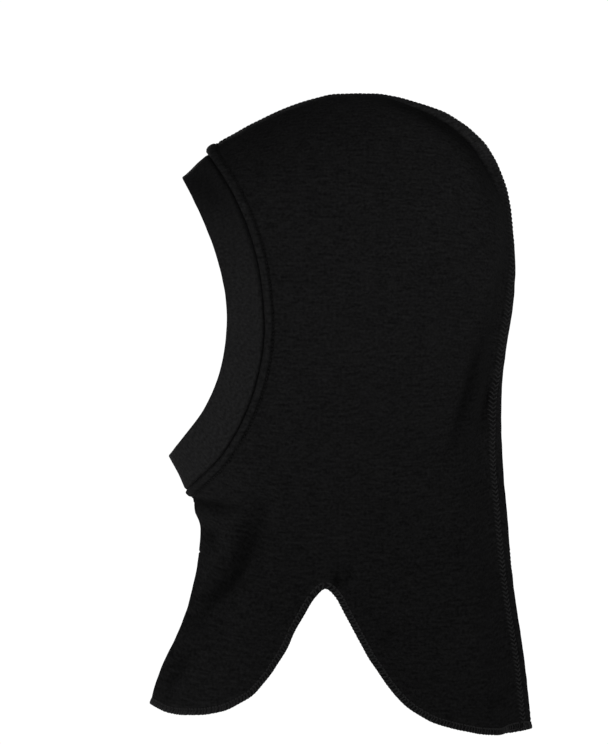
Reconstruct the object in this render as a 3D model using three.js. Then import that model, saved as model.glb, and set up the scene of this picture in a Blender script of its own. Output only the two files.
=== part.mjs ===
// A child's knitted balaclava, opened out as it sits round a head.
//
// Frame, in millimetres: X runs from the face (-X) to the back of the head (+X), Y from the wearer's
// left (-Y) to the right (+Y), and Z is up. The origin is the middle of the space for the head.
//
// The cloth lies on one smooth form. Its side view is bounded by a front and a back centre line, and
// every level of it is a closed oval, half width HALF_WIDTH. The oval is an ellipse round the head,
// and is creased along both centre lines below it, where the cloth hangs free.
import * as THREE from "three";
import { mergeVertices } from "three/addons/utils/BufferGeometryUtils.js";

// ---- Driving dimensions -------------------------------------------------------------------------
const CLOTH = 1.2; // thickness of the knitted side panels
const BAND_PLY = 0.9; // thickness of one ply of the folded band round the face
const BAND_SLOT = 0.3; // between the band's two plies
const CLEARANCE = 0.3; // between pieces that touch
const SEAM_WIDTH = 5.5; // cover stitching over the crown and back seam
const SEAM_THREAD = 0.5; // how thick that layer of thread is
const ALLOWANCE_WIDTH = 5; // raw edges turned under along the band
const ALLOWANCE_THICK = 1.3;
const ALLOWANCE_GAP = 1; // between them and the panels' inner face
const TOPSTITCH = 0.5; // thickness of the row of stitches round the face
const OVERLOCK_WIDTH = 3.2; // thread edging on the hem
const OVERLOCK_THREAD = 0.4;
const FIN_DEPTH = 3.5; // front seam allowance, standing inside on the centre line
const FIN_HALF = 0.8;
const FIN_START = 2.9; // clear of the two panels' mitred inner corner
const FOLD_RADIUS = 150; // the bib flaps swing below this distance from EAR
const FOLD_GAP = 1; // between the hood and a flap
const EAR = new THREE.Vector2(0, -22); // centre of the side panel's rings
const SEAM_END = 5; // from the end of a centre seam up to the hem's thread
const MITRE_LIMIT = 0.6; // keeps a mitre short where the two sides meet sharply
const SPINE = { low: -200, high: 40 }; // levels that the sections across a centre line point to
const LABEL = { height: 30, depth: 20, thick: 0.8, z: -62, clear: 3.2 }; // clear of the back seam

// ---- The form -----------------------------------------------------------------------------------
// Front centre line from the hem up: bib, chin, the open face, forehead, crown.
const FRONT_LINE = [
  [-120, -246], [-115.4, -226], [-109.6, -208], [-99.4, -186], [-92.2, -164], [-88.3, -142],
  [-87.8, -127], [-93, -114], [-105.2, -90.5], [-113.5, -60], [-117.5, -20], [-115, 16],
  [-108.2, 42], [-97.8, 61.5], [-84, 75.2], [-69, 84.8], [-50, 94.9], [-31, 102.8], [-15, 106.6],
  [0, 107.4],
];
// Back centre line from the crown down: head, nape, bib.
const BACK_LINE = [
  [0, 107.4], [15, 106.6], [31, 102.7], [47, 96.4], [60, 87.6], [69, 78.6], [76.5, 65], [81.8, 46.5],
  [84.5, 19], [83.8, -6], [80.6, -30], [78, -58], [77.8, -82], [80, -117], [84, -158], [90.6, -208],
  [94, -239], [94.4, -246],
];
// Level and half width, from the widest level of the head down.
const WIDEST = { z: 22, half: 71 };
const HALF_WIDTH = [
  [WIDEST.z, WIDEST.half], [-10, 70], [-45, 66], [-80, 59], [-110, 52], [-140, 50], [-165, 54],
  [-195, 62], [-225, 68], [-246, 71],
];
const CROWN_POWER = 2.1; // of the head's front view above WIDEST
// How creased the oval is, from 0.5, an ellipse, to 1, two arcs that meet at an angle.
const ROUND = 0.5;
const BACK_CREASE = { power: 0.8, from: -20, to: -110 };
const FRONT_CREASE = { power: 0.72, from: -95, to: -150 };

// ---- Edges of the cloth, in the side view ---------------------------------------------------------
const BAND_EDGE = [
  [-97.8, 61.5], [-87.5, 41], [-80, 21.9], [-74.4, 0], [-73.2, -19], [-76.7, -43.8], [-85.9, -65.6],
  [-105.2, -90.5],
];
const FACE_SEAM = [
  [-84, 75.2], [-69.5, 52.3], [-57.8, 22.6], [-52.7, -10], [-53.1, -33.6], [-60.2, -62.1],
  [-75.7, -90.5], [-95.1, -109.6],
];
const BACK_HEM = [
  [94, -239], [77, -243], [54.7, -240.2], [36, -234], [21.9, -223.7], [5.5, -201.6], [-7.1, -179],
  [-14.2, -166.6], [-19.1, -162.9],
];
const FRONT_HEM = [
  [-19.1, -162.9], [-24, -166.6], [-32.7, -180.5], [-44.1, -202.4], [-57, -219], [-73, -228.8],
  [-92, -232], [-106, -230.6], [-115.4, -226],
];

// ---- Curves -------------------------------------------------------------------------------------
const TABLE = 900; // samples of a curve kept for looking it up
const FACE_STEPS = 26; // of half the face seam, the same for every piece along it
const FRONT_HEM_STEPS = 14; // of half a flap's hem, the same for the cloth and its overlock
const BACK_HEM_STEPS = 18;

// Easings, for steps that are finest where the form turns away towards a centre line.
const fineAtEnds = (share) => (1 - Math.cos(Math.PI * share)) / 2;
const fineAtEnd = (share) => Math.sin((Math.PI / 2) * share);

function spline(points) {
  const curve = new THREE.CatmullRomCurve3(
    points.map(([x, z]) => new THREE.Vector3(x, 0, z)),
    false,
    "centripetal",
  );
  curve.arcLengthDivisions = TABLE;
  return curve;
}

// A function that gives a value at any level of a list of [level, value] that rises or falls.
function lookup(pairs) {
  const rows = [...pairs].sort((a, b) => a[0] - b[0]);
  return (level) => {
    let low = 0;
    let high = rows.length - 1;
    while (high - low > 1) {
      const middle = (low + high) >> 1;
      if (rows[middle][0] > level) high = middle;
      else low = middle;
    }
    const [[z0, v0], [z1, v1]] = [rows[low], rows[high]];
    return v0 + (v1 - v0) * THREE.MathUtils.clamp((level - z0) / (z1 - z0 || 1), 0, 1);
  };
}

const samples = (curve) => curve.getPoints(TABLE);
const frontLine = spline(FRONT_LINE);
const backLine = spline(BACK_LINE);
const frontX = lookup(samples(frontLine).map((p) => [p.z, p.x]));
const backX = lookup(samples(backLine).map((p) => [p.z, p.x]));
const lowerHalf = lookup(samples(spline(HALF_WIDTH.map(([z, w]) => [w, z]))).map((p) => [p.z, p.x]));
const TOP = FRONT_LINE.at(-1)[1];
const UNDER_TOP = 0.02; // the form's gradient is taken no nearer to its highest point

function halfWidth(z) {
  if (z <= WIDEST.z) return lowerHalf(z);
  const up = Math.min(1, (z - WIDEST.z) / (TOP - WIDEST.z));
  return WIDEST.half * (1 - up ** CROWN_POWER) ** (1 / CROWN_POWER);
}

function power(crease, z) {
  const share = THREE.MathUtils.smoothstep(-z, -crease.from, -crease.to);
  return THREE.MathUtils.lerp(ROUND, crease.power, share);
}

// How far the form stands out to the side at a point of the side view.
function sideways(x, z) {
  const level = Math.min(z, TOP - 1e-3);
  const [front, back] = [frontX(level), backX(level)];
  const across = (2 * x - front - back) / (back - front);
  const inside = Math.max(0, 1 - across * across);
  return halfWidth(level) * inside ** power(across > 0 ? BACK_CREASE : FRONT_CREASE, level);
}

// The oval's equation is 1 on the form. This gives its value and its gradient at a point.
function oval({ x, y, z }) {
  const level = Math.min(z, TOP - UNDER_TOP);
  const value = (px, py, pz) => {
    const [front, back] = [frontX(pz), backX(pz)];
    const across = (2 * px - front - back) / (back - front);
    const p = power(across > 0 ? BACK_CREASE : FRONT_CREASE, pz);
    return (Math.abs(py) / halfWidth(pz)) ** (1 / p) + across * across;
  };
  const step = Math.min(0.05, (TOP - level) / 4);
  const slope = (dx, dy, dz) =>
    (value(x + dx, y + dy, level + dz) - value(x - dx, y - dy, level - dz)) / (2 * step);
  const gradient = new THREE.Vector3(slope(step, 0, 0), slope(0, step, 0), slope(0, 0, step));
  return { value: value(x, y, level), gradient };
}

const normalAt = (p) => oval(p).gradient.normalize();

// The point a distance away over the form, setting out in a direction.
function walk(from, direction, distance) {
  const STEP = 0.5;
  const steps = Math.max(1, Math.ceil(distance / STEP));
  const onCentre = from.y === 0;
  const at = from.clone();
  const heading = direction.clone();
  for (let i = 0; i < steps; i++) {
    at.addScaledVector(heading, distance / steps);
    for (let j = 0; j < 2; j++) {
      const { value, gradient } = oval(at);
      at.addScaledVector(gradient, (1 - value) / gradient.lengthSq());
    }
    if (onCentre) at.setY(0);
    const normal = normalAt(at);
    heading.addScaledVector(normal, -heading.dot(normal)).normalize();
    if (onCentre) heading.setY(0).normalize();
  }
  return at;
}

// A point of the form's left half, over a point of the side view.
const onForm = (x, z) => new THREE.Vector3(x, -sideways(x, z), z);
const mirrored = (v) => new THREE.Vector3(v.x, -v.y, v.z);

// ---- Frames: a point on the form, its normal, and the direction across a strip ----------------------
// A mitre is how much further out a layer lies where the two sides meet at a crease.
const frame = (at, normal, across, mitre = 1) => ({ at, normal, across, mitre });
const mirroredFrame = (f) => frame(mirrored(f.at), mirrored(f.normal), mirrored(f.across), f.mitre);

// The point at an arc length away from the centre line, on the section square to it. Left is plus.
function besideLine(curve, t, arc) {
  const middle = curve.getPointAt(t);
  const along = curve.getTangentAt(t);
  const inwards = new THREE.Vector3(-along.z, 0, along.x);
  const centre = new THREE.Vector3(EAR.x, 0, THREE.MathUtils.clamp(middle.z, SPINE.low, SPINE.high));
  if (inwards.dot(centre.sub(middle)) < 0) inwards.negate();
  const at = middle.clone();
  let gone = 0;
  for (let depth = 0.0005; gone < Math.abs(arc) && depth < 40; depth *= 1.06) {
    const next = middle.clone().addScaledVector(inwards, depth);
    next.y = -sideways(next.x, next.z);
    const length = next.distanceTo(at);
    const share = Math.min(1, (Math.abs(arc) - gone) / length);
    at.lerp(next, share);
    gone += length * share;
  }
  if (arc < 0) at.y = -at.y;
  return { at, along, inwards };
}

// Frames along a free edge of the left panel, from t0 to t1 of its curve, with across pointing into
// the cloth. The steps are finest at the ends that lie on a centre line.
function edgeFrames(
  curve,
  steps,
  { t0 = 0, t1 = 1, skip = 0, fineStart = false, fineEnd = false, into = 1 } = {},
) {
  const frames = [];
  for (let i = skip; i <= steps; i++) {
    let share = i / steps;
    if (fineStart && fineEnd) share = fineAtEnds(share);
    else if (fineEnd) share = fineAtEnd(share);
    const t = THREE.MathUtils.lerp(t0, t1, share);
    const side = curve.getPointAt(t);
    const onCentre = (fineStart && i === 0) || (fineEnd && i === steps);
    const at = onCentre ? side : onForm(side.x, side.z);
    const normal = normalAt(at);
    if (onCentre) normal.setY(0).normalize();
    const direction = curve.getTangentAt(t);
    const flat = new THREE.Vector3(-direction.z, 0, direction.x).multiplyScalar(into);
    const across = flat.addScaledVector(normal, -flat.dot(normal)).normalize();
    frames.push(frame(at, normal, across));
  }
  // Away from the centre line, across is square to the edge itself.
  for (let i = 0; i < frames.length; i++) {
    const before = frames[Math.max(0, i - 1)].at;
    const after = frames[Math.min(frames.length - 1, i + 1)].at;
    const { at, normal, across } = frames[i];
    if (Math.abs(at.y) < 1e-9) continue;
    const square = new THREE.Vector3().crossVectors(after.clone().sub(before), normal).normalize();
    if (square.dot(across) < 0) square.negate();
    across.copy(square);
  }
  const mitre = (f, beside) => (f.mitre = 1 / Math.max(MITRE_LIMIT, f.normal.dot(beside.normal)));
  if (fineStart) mitre(frames[0], frames[1]);
  if (fineEnd) mitre(frames.at(-1), frames.at(-2));
  return frames;
}

// ---- Solids -------------------------------------------------------------------------------------
// A closed mesh from rings of points. Each ring is a closed loop of the same length; the rings are
// joined in order, and back to the first if the sweep is a loop. Otherwise its ends are capped.
function ringsToGeometry(rings, loop) {
  const [count, size] = [rings.length, rings[0].length];
  const index = [];
  const last = loop ? count : count - 1;
  for (let i = 0; i < last; i++) {
    for (let j = 0; j < size; j++) {
      const [a, b] = [i * size + j, i * size + ((j + 1) % size)];
      const [c, d] = [((i + 1) % count) * size + j, ((i + 1) % count) * size + ((j + 1) % size)];
      index.push(a, b, d, a, d, c);
    }
  }
  if (!loop) {
    const cap = THREE.ShapeUtils.triangulateShape(capShape(rings[0]), []);
    const far = (count - 1) * size;
    for (const [a, b, c] of cap) index.push(a, c, b, far + a, far + b, far + c);
  }
  return closed(rings.flat(), index);
}

// The ring's own flat outline, for triangulating its cap.
function capShape(ring) {
  const middle = ring.reduce((sum, p) => sum.add(p), new THREE.Vector3()).divideScalar(ring.length);
  const u = ring[0].clone().sub(middle).normalize();
  const area = new THREE.Vector3();
  ring.forEach((p, i) => {
    const next = ring[(i + 1) % ring.length].clone().sub(middle);
    area.add(new THREE.Vector3().crossVectors(p.clone().sub(middle), next));
  });
  const v = new THREE.Vector3().crossVectors(area.normalize(), u);
  return ring.map((p) => new THREE.Vector2(p.clone().sub(middle).dot(u), p.clone().sub(middle).dot(v)));
}

// A geometry from points and triangles, turned to face outwards.
function closed(points, index) {
  let volume = 0;
  for (let i = 0; i < index.length; i += 3) {
    const [a, b, c] = [points[index[i]], points[index[i + 1]], points[index[i + 2]]];
    volume += a.dot(new THREE.Vector3().crossVectors(b, c));
  }
  if (volume < 0) {
    for (let i = 0; i < index.length; i += 3) {
      [index[i + 1], index[i + 2]] = [index[i + 2], index[i + 1]];
    }
  }
  const geometry = new THREE.BufferGeometry().setFromPoints(points).setIndex(index);
  const merged = mergeVertices(geometry, 1e-4);
  merged.computeVertexNormals();
  return merged;
}

// Sweeps a profile of [across, normal] distances along frames.
function sweep(frames, profile, loop = false) {
  const place = ({ at, normal, across }, [a, n]) =>
    at.clone().addScaledVector(across, a).addScaledVector(normal, n);
  return ringsToGeometry(frames.map((f) => profile.map((p) => place(f, p))), loop);
}

// The same for a strip that lies on the form, so across is a distance over it.
function sweepOnForm(frames, profile, loop = false) {
  const place = (f, [a, n]) => {
    const out = n * f.mitre;
    if (a <= 0) return f.at.clone().addScaledVector(f.across, a).addScaledVector(f.normal, out);
    const at = walk(f.at, f.across, a);
    const normal = normalAt(at);
    if (f.at.y === 0) normal.setY(0).normalize();
    return at.addScaledVector(normal, out);
  };
  return ringsToGeometry(frames.map((f) => profile.map((p) => place(f, p))), loop);
}

// A flat bar's profile: from a0 to a1 across and from n0 to n1 out.
const bar = (a0, a1, n0, n1) => [[a0, n0], [a1, n0], [a1, n1], [a0, n1]];
// The same with a point in the middle of each face, so that it bends with the form.
const stripProfile = (a0, a1, n0, n1) => {
  const middle = (a0 + a1) / 2;
  return [[a0, n0], [middle, n0], [a1, n0], [a1, n1], [middle, n1], [a0, n1]];
};

// Cloth of one thickness behind rows of points on the form. Each row runs from inside to edge, the
// rows may close into a loop, and a pole is one point that every row starts from.
function cloth(rows, { loop = false, pole = null } = {}) {
  const [count, size] = [rows.length, rows[0].length];
  const outer = rows.flat();
  if (pole) outer.push(pole);
  const inner = outer.map((p) => {
    const normal = normalAt(p);
    if (Math.abs(p.y) > CLEARANCE) return p.clone().addScaledVector(normal, -CLOTH);
    // On a centre line the two sides are mitred, so the inner face keeps to its own side.
    const outwards = new THREE.Vector3(normal.x, 0, normal.z);
    const slope = Math.max(MITRE_LIMIT, outwards.length());
    return p.clone().addScaledVector(outwards.normalize(), -CLOTH / slope);
  });
  const behind = outer.length;
  const index = [];
  const quad = (a, b, c, d) => index.push(a, b, c, a, c, d);
  const lastRow = loop ? count : count - 1;
  for (let i = 0; i < lastRow; i++) {
    const [row, next] = [i * size, ((i + 1) % count) * size];
    for (let j = 0; j < size - 1; j++) {
      quad(row + j, row + j + 1, next + j + 1, next + j);
      quad(behind + row + j, behind + next + j, behind + next + j + 1, behind + row + j + 1);
    }
    quad(row + size - 1, behind + row + size - 1, behind + next + size - 1, next + size - 1);
    if (pole) {
      index.push(row, next, outer.length - 1);
      index.push(behind + next, behind + row, behind + outer.length - 1);
    } else {
      quad(row, next, behind + next, behind + row);
    }
  }
  if (!loop) {
    for (let j = 0; j < size - 1; j++) {
      const far = (count - 1) * size + j;
      quad(j, behind + j, behind + j + 1, j + 1);
      quad(far, far + 1, behind + far + 1, behind + far);
    }
  }
  return closed([...outer, ...inner], index);
}

// Points on the form from one point of the side view to another. Spacing turns an equal share of the
// steps into a share of the way.
function rowBetween(from, to, steps, endsOnCentre, spacing = (share) => share) {
  const FINE = 120;
  const path = [];
  for (let i = 0; i <= FINE; i++) {
    // The side view's steps close up towards the end, where the form turns away.
    const side = from.clone().lerp(to, fineAtEnd(i / FINE));
    path.push(onForm(side.x, side.y));
  }
  if (endsOnCentre) path[FINE].set(to.x, -CLEARANCE / 2, to.y);
  const arc = [0];
  for (let i = 1; i <= FINE; i++) arc.push(arc[i - 1] + path[i].distanceTo(path[i - 1]));
  const row = [];
  for (let k = 0, i = 1; k <= steps; k++) {
    const wanted = arc[FINE] * spacing(k / steps);
    while (i < FINE && arc[i] < wanted) i++;
    const share = (wanted - arc[i - 1]) / (arc[i] - arc[i - 1] || 1);
    row.push(path[i - 1].clone().lerp(path[i], Math.min(1, share)));
  }
  if (endsOnCentre) row[steps].copy(path[FINE]);
  return row;
}

// ---- The side panels ------------------------------------------------------------------------------
const faceSeam = spline(FACE_SEAM);
const bandEdge = spline(BAND_EDGE);
const backHem = spline(BACK_HEM);
const frontHem = spline(FRONT_HEM);
const flat = (p) => new THREE.Vector2(p.x, p.z);

// How far along a curve, as t, a test of its points first gives another answer.
function crossing(curve, test, t0 = 0, t1 = 1) {
  const starts = test(curve.getPointAt(t0));
  for (let i = 0; i < 50; i++) {
    const t = (t0 + t1) / 2;
    if (test(curve.getPointAt(t)) === starts) t0 = t;
    else t1 = t;
  }
  return t0;
}

const fromEar = (p) => Math.hypot(p.x - EAR.x, p.z - EAR.y);
const beyond = (radius) => (p) => fromEar(p) > radius;
const HOOD_END = FOLD_RADIUS - FOLD_GAP / 2;
const FLAP_START = FOLD_RADIUS + FOLD_GAP / 2;

// Where the fold and the chin seam cross the curves.
const onBack = (radius) => crossing(backLine, beyond(radius));
const onFront = (radius) => crossing(frontLine, beyond(radius), 0, 0.5);
const onBackHem = (radius) => crossing(backHem, beyond(radius));
const onFrontHem = (radius) => crossing(frontHem, beyond(radius));
const chinSeam = crossing(frontLine, (p) => p.z < FACE_SEAM.at(-1)[1]);
const foreheadSeam = crossing(frontLine, (p) => p.z < FACE_SEAM[0][1]);

// The points of a curve from t0 to t1, at equal steps of its length, or at eased ones.
function stretch(curve, t0, t1, steps, ease = (share) => share) {
  return Array.from({ length: steps + 1 }, (_, i) =>
    curve.getPointAt(THREE.MathUtils.lerp(t0, t1, ease(i / steps))),
  );
}

// Points on the fold's circle between two points of it.
function foldArc(from, to, radius, steps) {
  const angle = (p) => Math.atan2(p.z - EAR.y, p.x - EAR.x);
  const points = [];
  for (let i = 1; i < steps; i++) {
    const turn = THREE.MathUtils.lerp(angle(from), angle(to), i / steps);
    const [x, z] = [EAR.x + radius * Math.cos(turn), EAR.y + radius * Math.sin(turn)];
    points.push(new THREE.Vector3(x, 0, z));
  }
  return points;
}

// The hood's half: every row starts at the ear and ends on the panel's outline.
function hoodPanel() {
  const crown = [
    ...stretch(frontLine, foreheadSeam, 1, 9).slice(0, -1),
    ...stretch(backLine, 0, onBack(HOOD_END), 27),
  ].map((p) => ({ p, centre: true }));
  const backFoldEnd = backHem.getPointAt(onBackHem(HOOD_END));
  const frontFoldEnd = frontHem.getPointAt(onFrontHem(HOOD_END));
  const chin = stretch(frontLine, onFront(HOOD_END), chinSeam, 5).map((p) => ({ p, centre: true }));
  const free = (points) => points.map((p) => ({ p, centre: false }));
  const face = stretch(faceSeam, 0, 1, FACE_STEPS, fineAtEnds).reverse().slice(1, -1);
  const outline = [
    ...crown,
    ...free(foldArc(crown.at(-1).p, backFoldEnd, HOOD_END, 7)),
    ...free(stretch(backHem, onBackHem(HOOD_END), 1, 4)),
    ...free(stretch(frontHem, 0, onFrontHem(HOOD_END), 4).slice(1)),
    ...free(foldArc(frontFoldEnd, chin[0].p, HOOD_END, 5)),
    ...chin,
    ...free(face),
  ];
  const RINGS = 9;
  const closer = (share) => THREE.MathUtils.lerp(share, fineAtEnd(share), 0.75);
  const rows = outline.map(({ p, centre }) => rowBetween(EAR, flat(p), RINGS, centre, closer).slice(1));
  return cloth(rows, { loop: true, pole: onForm(EAR.x, EAR.y) });
}

// A bib flap's half: the rows run from the fold out to the hem or the centre line.
function flapPanel(outline) {
  const SHORTEST = 2;
  const RINGS = 4;
  const rows = outline
    .filter(({ p }) => fromEar(p) > FLAP_START + SHORTEST)
    .map(({ p, centre }) => {
      const outwards = flat(p).sub(EAR).normalize();
      const start = EAR.clone().addScaledVector(outwards, FLAP_START);
      return rowBetween(start, flat(p), RINGS, centre);
    });
  return cloth(rows);
}

function frontFlapPanel() {
  const hem = stretch(frontHem, onFrontHem(FLAP_START), 1, FRONT_HEM_STEPS, fineAtEnd);
  const bottom = crossing(frontLine, (p) => p.z < FRONT_HEM.at(-1)[1]);
  const centreLine = stretch(frontLine, bottom, onFront(FLAP_START), 7);
  return flapPanel([
    ...hem.slice(0, -1).map((p) => ({ p, centre: false })),
    ...centreLine.map((p) => ({ p, centre: true })),
  ]);
}

function backFlapPanel() {
  const hem = stretch(reversed(BACK_HEM), 1 - onBackHem(FLAP_START), 1, BACK_HEM_STEPS, fineAtEnd);
  const bottom = crossing(backLine, (p) => p.z > BACK_HEM[0][1]);
  const centreLine = stretch(backLine, bottom, onBack(FLAP_START), 8);
  return flapPanel([
    ...hem.slice(0, -1).map((p) => ({ p, centre: false })),
    ...centreLine.map((p) => ({ p, centre: true })),
  ]);
}

function reversed(points) {
  return spline([...points].reverse());
}

// ---- The face ring ----------------------------------------------------------------------------------
// Frames of the whole ring from frames of its left side, forehead to chin.
function wholeRing(left) {
  return [...left, ...left.slice(1, -1).reverse().map(mirroredFrame)];
}

// The band is a strip folded in half at the free edge. Its raw edges meet the side panels.
function faceBand() {
  const left = [];
  for (let i = 0; i <= FACE_STEPS; i++) {
    const t = fineAtEnds(i / FACE_STEPS);
    const [edge, seam] = [bandEdge.getPointAt(t), faceSeam.getPointAt(t)];
    const onCentre = i === 0 || i === FACE_STEPS;
    const point = (share) => {
      const p = edge.clone().lerp(seam, share);
      const at = onCentre ? p.setY(0) : onForm(p.x, p.z);
      const normal = normalAt(at);
      if (onCentre) normal.setY(0).normalize();
      return { at, normal };
    };
    const width = edge.distanceTo(seam);
    const back = 1 - CLEARANCE / width;
    const nose = 0.9 / width; // the fold is rounded over this much of the width
    const thick = 2 * BAND_PLY + BAND_SLOT;
    const outline = [
      [back, 0], [0.5, 0], [nose, 0], [0, -thick / 3], [0, (-2 * thick) / 3], [nose, -thick],
      [0.5, -thick], [back, -thick], [back, BAND_PLY - thick], [0.5, BAND_PLY - thick],
      [2.2 * nose, BAND_PLY - thick], [2.2 * nose, -BAND_PLY], [0.5, -BAND_PLY], [back, -BAND_PLY],
    ];
    left.push(
      outline.map(([share, depth]) => {
        const { at, normal } = point(share);
        return at.clone().addScaledVector(normal, depth);
      }),
    );
  }
  const right = left.slice(1, -1).reverse().map((ring) => ring.map(mirrored));
  return ringsToGeometry([...left, ...right], true);
}

const faceSeamFrames = () =>
  edgeFrames(faceSeam, FACE_STEPS, { fineStart: true, fineEnd: true, into: 1 });

// The raw edges of the band and the panels, turned under the panels.
function faceSeamAllowance() {
  const under = -CLOTH - ALLOWANCE_GAP;
  const profile = stripProfile(0.4, ALLOWANCE_WIDTH, under - ALLOWANCE_THICK, under);
  return sweepOnForm(wholeRing(faceSeamFrames()), profile, true);
}

// The row of stitches that holds the turned edges down.
function faceTopstitch() {
  const profile = bar(ALLOWANCE_WIDTH, ALLOWANCE_WIDTH + TOPSTITCH, CLEARANCE, CLEARANCE + TOPSTITCH);
  return sweepOnForm(wholeRing(faceSeamFrames()), profile, true);
}

// Stitches that close the band into a ring, across its inner ply under the chin.
function faceBandJoin() {
  const [edge, seam] = [bandEdge.getPointAt(1), faceSeam.getPointAt(1)];
  const across = new THREE.Vector3(0, 1, 0);
  const frames = [0.1, 0.5, 0.9].map((share) => {
    const at = edge.clone().lerp(seam, share).setY(0);
    return frame(at, normalAt(at).setY(0).normalize(), across);
  });
  const under = -2 * BAND_PLY - BAND_SLOT - CLEARANCE;
  return sweep(frames, bar(-1.2, 1.2, under - 0.5, under));
}

// ---- Seams on the centre lines ------------------------------------------------------------------------
// A layer of thread that follows the form on both sides of a centre line, from depth n0 to n1 out.
function seamLayer(pieces, n0, n1, width) {
  const WINGS = [-1, -0.5, 0, 0.5, 1];
  const rings = pieces.map(({ curve, t }) => {
    const points = WINGS.map((side) => {
      const { at } = besideLine(curve, t, (side * width) / 2);
      const normal = normalAt(at);
      if (side === 0) normal.setY(0).normalize();
      return { at, normal };
    });
    const layer = (n) => points.map(({ at, normal }) => at.clone().addScaledVector(normal, n));
    return [...layer(n0), ...layer(n1).reverse()];
  });
  return ringsToGeometry(rings, false);
}

const along = (curve, t0, t1, steps) =>
  Array.from({ length: steps + 1 }, (_, i) => ({ curve, t: THREE.MathUtils.lerp(t0, t1, i / steps) }));

// From just behind the row of stitches round the face, over the crown, to the fold of the back flap.
const CROWN_START = (ALLOWANCE_WIDTH + TOPSTITCH + 1) / frontLine.getLength();
const crownRun = () => [
  ...along(frontLine, foreheadSeam + CROWN_START, 0.999, 11),
  ...along(backLine, 0.004, onBack(HOOD_END), 27),
];
const backFlapRun = () =>
  along(backLine, onBack(FLAP_START), crossing(backLine, (p) => p.z > BACK_HEM[0][1] + SEAM_END), 8);

const OVER = [CLEARANCE, CLEARANCE + SEAM_THREAD];
const UNDER = [-CLOTH - 2 * CLEARANCE - SEAM_THREAD, -CLOTH - 2 * CLEARANCE];

// The plain front seam's allowance stands inside the crease, on the centre line.
function fin(t0, t1, steps) {
  const frames = along(frontLine, t0, t1, steps).map(({ curve, t }) => {
    const { at, inwards } = besideLine(curve, t, 0);
    return frame(at, new THREE.Vector3(0, 1, 0), inwards);
  });
  return sweep(frames, bar(FIN_START, FIN_START + FIN_DEPTH, -FIN_HALF, FIN_HALF));
}

// ---- Hem ------------------------------------------------------------------------------------------
// Thread wrapped over the cloth's edge, outside and inside.
function overlock(frames, loop = false) {
  const [near, far] = [1.1 * CLEARANCE, 1.1 * CLEARANCE + OVERLOCK_THREAD];
  const back = -CLOTH - near;
  const profile = [
    [OVERLOCK_WIDTH, near], [OVERLOCK_WIDTH, far], [-near, far], [-far, near],
    [-far, back], [-near, back - OVERLOCK_THREAD], [OVERLOCK_WIDTH, back - OVERLOCK_THREAD],
    [OVERLOCK_WIDTH, back], [-near, back], [-near, near],
  ];
  return sweepOnForm(frames, profile, loop);
}

// From the left end of a flap's hem, round the centre line, to the right end.
function bothSides(left) {
  return [...left, ...left.slice(0, -1).reverse().map(mirroredFrame)];
}

function archFrames() {
  const inset = 0.012; // keeps the ends clear of the fold
  const back = edgeFrames(backHem, 5, { t0: onBackHem(HOOD_END) + inset, t1: 0.995, into: -1 });
  const front = edgeFrames(frontHem, 5, { t0: 0.01, t1: onFrontHem(HOOD_END) - inset, into: -1 });
  return [...back, ...front];
}

// ---- The care label ---------------------------------------------------------------------------------
// A blank strip folded in half, sewn into the back seam and standing inside on the centre line.
function careLabel() {
  const geometry = new THREE.BoxGeometry(LABEL.depth, LABEL.thick, LABEL.height, 2, 1, 3);
  const x = backX(LABEL.z) - LABEL.clear - LABEL.depth / 2;
  return { geometry, position: new THREE.Vector3(x, 0, LABEL.z) };
}

// ---- Assembly -------------------------------------------------------------------------------------
const knit = new THREE.MeshStandardMaterial({ color: 0x151515, roughness: 0.95, metalness: 0 });
const bandKnit = new THREE.MeshStandardMaterial({ color: 0x1a1a1a, roughness: 0.92, metalness: 0 });
const thread = new THREE.MeshStandardMaterial({ color: 0x202020, roughness: 0.7, metalness: 0 });
const label = new THREE.MeshStandardMaterial({ color: 0xe6e4df, roughness: 0.8, metalness: 0 });

const balaclava = new THREE.Group();

function add(name, geometry, material) {
  const mesh = new THREE.Mesh(geometry, material);
  mesh.name = name;
  balaclava.add(mesh);
  return mesh;
}

// The right half is the left one mirrored in the XZ plane.
function addPair(name, geometry, material) {
  add("left_" + name, geometry, material);
  add("right_" + name, geometry, material).scale.y = -1;
}

addPair("hood_panel", hoodPanel(), knit);
addPair("front_flap", frontFlapPanel(), knit);
addPair("back_flap", backFlapPanel(), knit);

add("face_band", faceBand(), bandKnit);
add("face_band_join", faceBandJoin(), thread);
add("face_seam_allowance", faceSeamAllowance(), knit);
add("face_topstitch", faceTopstitch(), thread);

add("crown_seam_cover", seamLayer(crownRun(), ...OVER, SEAM_WIDTH), thread);
add("crown_seam_underlay", seamLayer(crownRun(), ...UNDER, SEAM_WIDTH * 0.8), thread);
add("back_flap_seam_cover", seamLayer(backFlapRun(), ...OVER, SEAM_WIDTH), thread);
add("back_flap_seam_underlay", seamLayer(backFlapRun(), ...UNDER, SEAM_WIDTH * 0.8), thread);

const chinSeamTop = chinSeam - 2 * SEAM_END / frontLine.getLength();
const chinSeamBottom = crossing(frontLine, (p) => p.z < FRONT_HEM.at(-1)[1] + SEAM_END);
add("chin_seam_allowance", fin(onFront(HOOD_END), chinSeamTop, 5), knit);
add("front_flap_seam_allowance", fin(chinSeamBottom, onFront(FLAP_START), 7), knit);

const frontHemFrames = edgeFrames(frontHem, FRONT_HEM_STEPS, {
  t0: onFrontHem(FLAP_START),
  skip: 1,
  fineEnd: true,
  into: -1,
});
const backHemFrames = edgeFrames(reversed(BACK_HEM), BACK_HEM_STEPS, {
  t0: 1 - onBackHem(FLAP_START),
  skip: 1,
  fineEnd: true,
});
add("front_flap_overlock", overlock(bothSides(frontHemFrames)), thread);
add("back_flap_overlock", overlock(bothSides(backHemFrames)), thread);
addPair("arch_overlock", overlock(archFrames()), thread);

const { geometry: labelGeometry, position: labelPosition } = careLabel();
add("care_label", labelGeometry, label).position.copy(labelPosition);

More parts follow.
